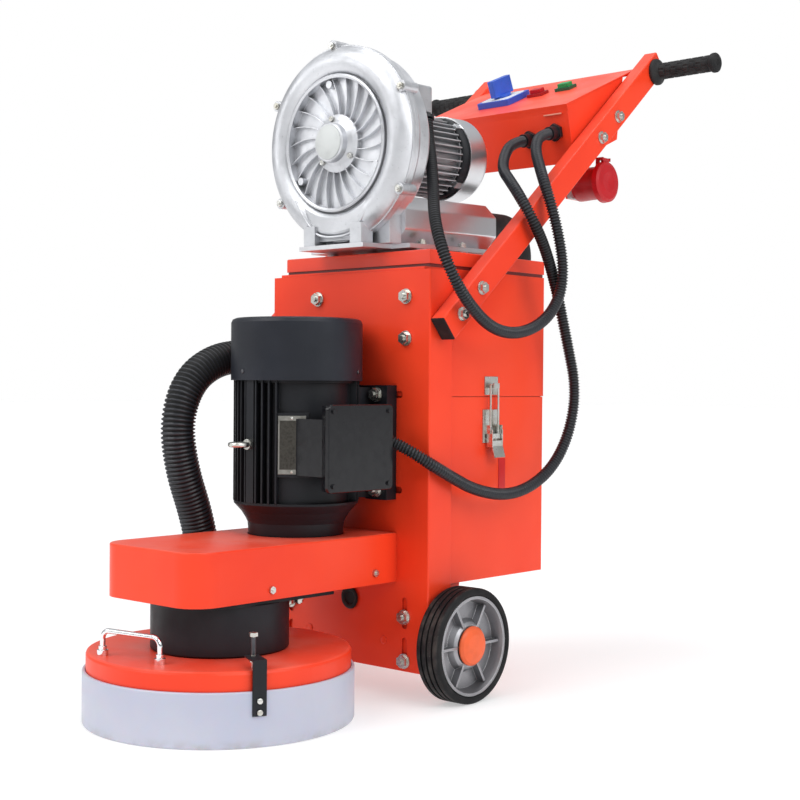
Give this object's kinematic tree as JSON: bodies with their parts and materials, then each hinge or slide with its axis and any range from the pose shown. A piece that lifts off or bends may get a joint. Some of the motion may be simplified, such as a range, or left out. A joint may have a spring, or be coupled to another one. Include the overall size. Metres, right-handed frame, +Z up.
{
  "type": "concrete grinder",
  "caption": "Walk-behind concrete floor grinder with belt-driven disc head, floating skirt, dust box, side-channel blower and folding-arm controls.",
  "frame": {"origin": "on the floor, under the middle of the machine's bounding box without its hoses", "axes": "+X to the machine's side (the side of the inlet and cable runs), -Y forward towards the grinding head, +Z up"},
  "size_m": [0.738, 1.2199, 1.2334],
  "materials": {
    "orange_paint": "satin powder coat",
    "black_paint": "satin",
    "cast_aluminium": "sand cast",
    "silver_paint": "satin",
    "zinc_steel": "bright zinc",
    "machined_steel": "machined",
    "chrome": "polished",
    "skirt_plastic": "milky, slightly translucent",
    "tyre_rubber": "dusty",
    "rubber": "matt",
    "black_plastic": "semi gloss",
    "blue_plastic": "semi gloss",
    "red_plastic": "semi gloss",
    "green_plastic": "semi gloss",
    "orange_plastic": "satin",
    "filter_paper": "pleated",
    "grinding_segments": "rough"
  },
  "bodies": {
    "frame": {"front_plate": "orange_paint", "axle_brackets": "orange_paint", "wheel_axle": "zinc_steel", "filter_box": "orange_paint", "dust_bin": "orange_paint", "top_lid": "orange_paint", "filter_cartridge": "filter_paper", "disc_cover": "orange_paint", "lift_handle": "chrome", "spindle_housing": "black_paint", "belt_case_base": "orange_paint", "belt_guard": "orange_paint", "drive_belts": "rubber", "motor_housing": "black_paint", "motor_fan_cover": "black_paint", "motor_terminal_box": "black_plastic", "motor_stator": "machined_steel", "bearings": "machined_steel", "blower_front_housing": "cast_aluminium", "blower_rear_housing": "cast_aluminium", "blower_silencers": "cast_aluminium", "blower_motor_housing": "cast_aluminium", "blower_fan_cover": "silver_paint", "blower_suction_elbow": "rubber", "handle_arms": "orange_paint", "handle_grips": "rubber", "control_box": "orange_paint", "switch_plates": "blue_plastic", "power_inlet": "red_plastic", "latch_plates": "zinc_steel", "fasteners": "zinc_steel", "glands_and_cuffs": "black_plastic", "motor_conduit": "black_plastic", "blower_conduit": "black_plastic", "suction_hose": "black_plastic"},
    "left_wheel": {"left_tyre": "tyre_rubber", "left_rim": "cast_aluminium", "left_hub_cap": "orange_plastic"},
    "right_wheel": {"right_tyre": "tyre_rubber", "right_rim": "cast_aluminium", "right_hub_cap": "orange_plastic"},
    "motor_rotor": {"motor_rotor": "machined_steel", "motor_fan": "black_plastic", "motor_pulley": "machined_steel"},
    "spindle": {"spindle_shaft": "machined_steel", "grinding_disc": "machined_steel", "grinding_heads": "grinding_segments"},
    "blower_rotor": {"blower_impeller": "cast_aluminium", "blower_rotor": "machined_steel"},
    "skirt": {"skirt_ring": "skirt_plastic", "skirt_brackets": "black_paint"},
    "left_lever": {"left_latch_lever": "zinc_steel"},
    "left_bail": {"left_latch_bail": "zinc_steel"},
    "right_lever": {"right_latch_lever": "zinc_steel"},
    "right_bail": {"right_latch_bail": "zinc_steel"},
    "switch_handle": {"switch_handle": "blue_plastic"},
    "start_button": {"start_button": "green_plastic"},
    "stop_button": {"stop_button": "red_plastic"},
    "inlet_cap": {"inlet_cap": "red_plastic"}
  },
  "joints": [
    {"name": "left_wheel_spin", "type": "hinge", "parent": "frame", "child": "left_wheel", "pos_m": [-0.227, -0.028, 0.1], "axis": [1, 0, 0], "continuous": true},
    {"name": "right_wheel_spin", "type": "hinge", "parent": "frame", "child": "right_wheel", "pos_m": [0.227, -0.028, 0.1], "axis": [1, 0, 0], "continuous": true},
    {"name": "spindle_spin", "type": "hinge", "parent": "frame", "child": "spindle", "pos_m": [0, -0.387, 0.15], "axis": [0, 0, 1], "continuous": true},
    {"name": "motor_spin", "type": "hinge", "parent": "frame", "child": "motor_rotor", "pos_m": [0, -0.215, 0.4], "axis": [0, 0, 1], "continuous": true},
    {"name": "blower_spin", "type": "hinge", "parent": "frame", "child": "blower_rotor", "pos_m": [-0.008, -0.118, 0.982], "axis": [0, 0.9998, 0.0209], "continuous": true},
    {"name": "skirt_float", "type": "slide", "parent": "frame", "child": "skirt", "axis": [0, 0, 1], "range_m": [0, 0.025]},
    {"name": "right_lever_pivot", "type": "hinge", "parent": "frame", "child": "right_lever", "pos_m": [0.188, 0.102, 0.47], "axis": [0, -1, 0], "range_deg": [0, 85]},
    {"name": "left_lever_pivot", "type": "hinge", "parent": "frame", "child": "left_lever", "pos_m": [-0.188, 0.102, 0.47], "axis": [0, 1, 0], "range_deg": [0, 85]},
    {"name": "right_bail_pivot", "type": "hinge", "parent": "right_lever", "child": "right_bail", "pos_m": [0.188, 0.102, 0.458], "axis": [0, -1, 0], "range_deg": [-80, 0]},
    {"name": "left_bail_pivot", "type": "hinge", "parent": "left_lever", "child": "left_bail", "pos_m": [-0.188, 0.102, 0.458], "axis": [0, 1, 0], "range_deg": [-80, 0]},
    {"name": "switch_turn", "type": "hinge", "parent": "frame", "child": "switch_handle", "pos_m": [-0.038, 0.41497, 1.13918], "axis": [0, -0.4067, 0.9135], "range_deg": [-45, 45]},
    {"name": "stop_press", "type": "slide", "parent": "frame", "child": "stop_button", "axis": [0, 0.4067, -0.9135], "range_m": [0, 0.003], "stiffness_N_per_m": 300, "springref_m": -0.002},
    {"name": "start_press", "type": "slide", "parent": "frame", "child": "start_button", "axis": [0, 0.4067, -0.9135], "range_m": [0, 0.003], "stiffness_N_per_m": 300, "springref_m": -0.002},
    {"name": "cap_hinge", "type": "hinge", "parent": "frame", "child": "inlet_cap", "pos_m": [0.181, 0.463, 1.004], "axis": [0, -1, 0], "range_deg": [0, 90], "stiffness_Nm_per_rad": 0.05, "springref_deg": -28.65}
  ],
  "couplings": [
    {"joint": "motor_spin", "follows": "spindle_spin", "ratio": 1.5},
    {"joint": "right_bail_pivot", "follows": "right_lever_pivot", "ratio": -0.88},
    {"joint": "left_bail_pivot", "follows": "left_lever_pivot", "ratio": -0.88}
  ]
}
